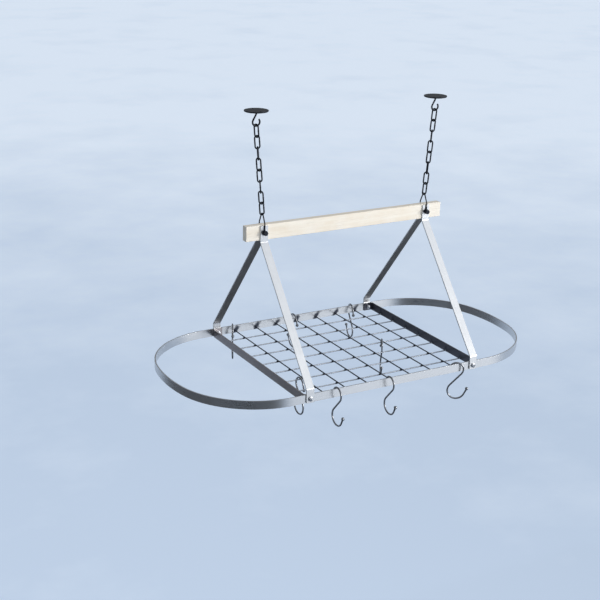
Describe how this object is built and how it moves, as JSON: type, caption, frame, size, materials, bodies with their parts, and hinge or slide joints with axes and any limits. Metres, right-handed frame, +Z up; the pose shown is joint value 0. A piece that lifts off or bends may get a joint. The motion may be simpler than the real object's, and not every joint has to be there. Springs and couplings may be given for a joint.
{
  "type": "hanging pot rack",
  "caption": "Ceiling-hung oval steel pot rack with a wire mesh shelf, four steel straps, a wooden beam, two chains and S-hooks for pans.",
  "frame": {"origin": "on the ceiling, midway between the centres of the two round ceiling plates", "axes": "+Z up; +X along the wooden beam, to the right as seen in the picture; +Y from front to back"},
  "size_m": [0.938, 0.5383, 0.7072],
  "materials": {
    "raw_steel": "rolled flat bar, satin, with faint mill marks",
    "wire_steel": "drawn wire, satin, darker than the flat bar",
    "black_steel": "blackened, slightly glossy",
    "hook_steel": "dark polished wire",
    "bright_steel": "bright zinc plated",
    "limed_wood": "pale limed wood, matt"
  },
  "bodies": {
    "ceiling_fittings": {"left_ceiling_plate": "black_steel", "right_ceiling_plate": "black_steel", "left_ceiling_hook": "black_steel", "right_ceiling_hook": "black_steel"},
    "left_top_link": {"left_chain_link_8": "black_steel"},
    "left_chain": {"left_chain_link_2": "black_steel", "left_chain_link_3": "black_steel", "left_chain_link_4": "black_steel", "left_chain_link_5": "black_steel", "left_chain_link_6": "black_steel", "left_chain_link_7": "black_steel"},
    "left_low_link": {"left_chain_link_1": "black_steel"},
    "right_top_link": {"right_chain_link_8": "black_steel"},
    "right_chain": {"right_chain_link_2": "black_steel", "right_chain_link_3": "black_steel", "right_chain_link_4": "black_steel", "right_chain_link_5": "black_steel", "right_chain_link_6": "black_steel", "right_chain_link_7": "black_steel"},
    "right_low_link": {"right_chain_link_1": "black_steel"},
    "rack": {"left_bail": "black_steel", "right_bail": "black_steel", "beam_bolts": "black_steel", "beam_washers": "black_steel", "beam_nuts": "black_steel", "beam": "limed_wood", "front_left_strap": "raw_steel", "front_right_strap": "raw_steel", "back_left_strap": "raw_steel", "back_right_strap": "raw_steel", "corner_screws": "bright_steel", "corner_nuts": "bright_steel", "ring": "raw_steel", "left_cross_bar": "raw_steel", "right_cross_bar": "raw_steel", "long_wires": "wire_steel", "cross_wires": "wire_steel"},
    "front_left_hook": {"front_left_hook": "hook_steel"},
    "front_middle_hook": {"front_middle_hook": "hook_steel"},
    "front_right_hook": {"front_right_hook": "hook_steel"},
    "back_left_hook": {"back_left_hook": "hook_steel"},
    "back_middle_hook": {"back_middle_hook": "hook_steel"},
    "back_right_hook": {"back_right_hook": "hook_steel"},
    "mesh_left_hook": {"mesh_left_hook": "hook_steel"},
    "mesh_right_hook": {"mesh_right_hook": "hook_steel"}
  },
  "joints": [
    {"name": "chain_swing", "type": "hinge", "parent": "ceiling_fittings", "child": "left_top_link", "pos_m": [-0.243, 0, -0.036], "axis": [1, 0, 0], "range_deg": [-20, 20]},
    {"name": "side_sway", "type": "hinge", "parent": "left_top_link", "child": "left_chain", "pos_m": [-0.24077, 0, -0.06165], "axis": [0, 1, 0], "range_deg": [-5, 5]},
    {"name": "left_low_link_turn", "type": "hinge", "parent": "left_chain", "child": "left_low_link", "pos_m": [-0.22725, 0, -0.21707], "axis": [0, 1, 0], "range_deg": [-6, 6]},
    {"name": "rack_tilt", "type": "hinge", "parent": "left_low_link", "child": "rack", "pos_m": [-0.225, 0, -0.24297], "axis": [1, 0, 0], "range_deg": [-20, 20]},
    {"name": "right_chain_swing", "type": "hinge", "parent": "ceiling_fittings", "child": "right_top_link", "pos_m": [0.243, 0, -0.036], "axis": [1, 0, 0], "range_deg": [-20, 20]},
    {"name": "right_side_sway", "type": "hinge", "parent": "right_top_link", "child": "right_chain", "pos_m": [0.24077, 0, -0.06165], "axis": [0, 1, 0], "range_deg": [-5, 5]},
    {"name": "right_low_link_turn", "type": "hinge", "parent": "right_chain", "child": "right_low_link", "pos_m": [0.22725, 0, -0.21707], "axis": [0, 1, 0], "range_deg": [-6, 6]},
    {"name": "front_left_hook_swing", "type": "hinge", "parent": "rack", "child": "front_left_hook", "pos_m": [-0.15488, -0.24, -0.61234], "axis": [-1, 0, 0], "range_deg": [-30, 30]},
    {"name": "front_middle_hook_swing", "type": "hinge", "parent": "rack", "child": "front_middle_hook", "pos_m": [-0.013, -0.24, -0.61234], "axis": [-1, 0, 0], "range_deg": [-30, 30]},
    {"name": "front_right_hook_swing", "type": "hinge", "parent": "rack", "child": "front_right_hook", "pos_m": [0.17988, -0.2355, -0.61307], "axis": [-0.5, -0.866, 0], "range_deg": [-30, 30]},
    {"name": "back_left_hook_swing", "type": "hinge", "parent": "rack", "child": "back_left_hook", "pos_m": [-0.18188, 0.2355, -0.61352], "axis": [0.9063, -0.4226, 0], "range_deg": [-30, 30]},
    {"name": "back_middle_hook_swing", "type": "hinge", "parent": "rack", "child": "back_middle_hook", "pos_m": [-0.0035, 0.2355, -0.61354], "axis": [1, 0, 0], "range_deg": [-30, 30]},
    {"name": "back_right_hook_swing", "type": "hinge", "parent": "rack", "child": "back_right_hook", "pos_m": [0.17288, 0.2355, -0.61354], "axis": [0.9848, -0.1736, 0], "range_deg": [-30, 30]},
    {"name": "mesh_left_hook_swing", "type": "hinge", "parent": "rack", "child": "mesh_left_hook", "pos_m": [-0.18088, -0.1137, -0.63022], "axis": [1, 0, 0], "range_deg": [-30, 30]},
    {"name": "mesh_right_hook_swing", "type": "hinge", "parent": "rack", "child": "mesh_right_hook", "pos_m": [0.12375, 0.0048, -0.62712], "axis": [-0.866, 0.5, 0], "range_deg": [-30, 30]}
  ],
  "couplings": [
    {"joint": "right_chain_swing", "follows": "chain_swing", "ratio": 1},
    {"joint": "right_side_sway", "follows": "side_sway", "ratio": 1},
    {"joint": "left_low_link_turn", "follows": "side_sway", "ratio": -1.0595},
    {"joint": "right_low_link_turn", "follows": "side_sway", "ratio": -1.0595}
  ]
}
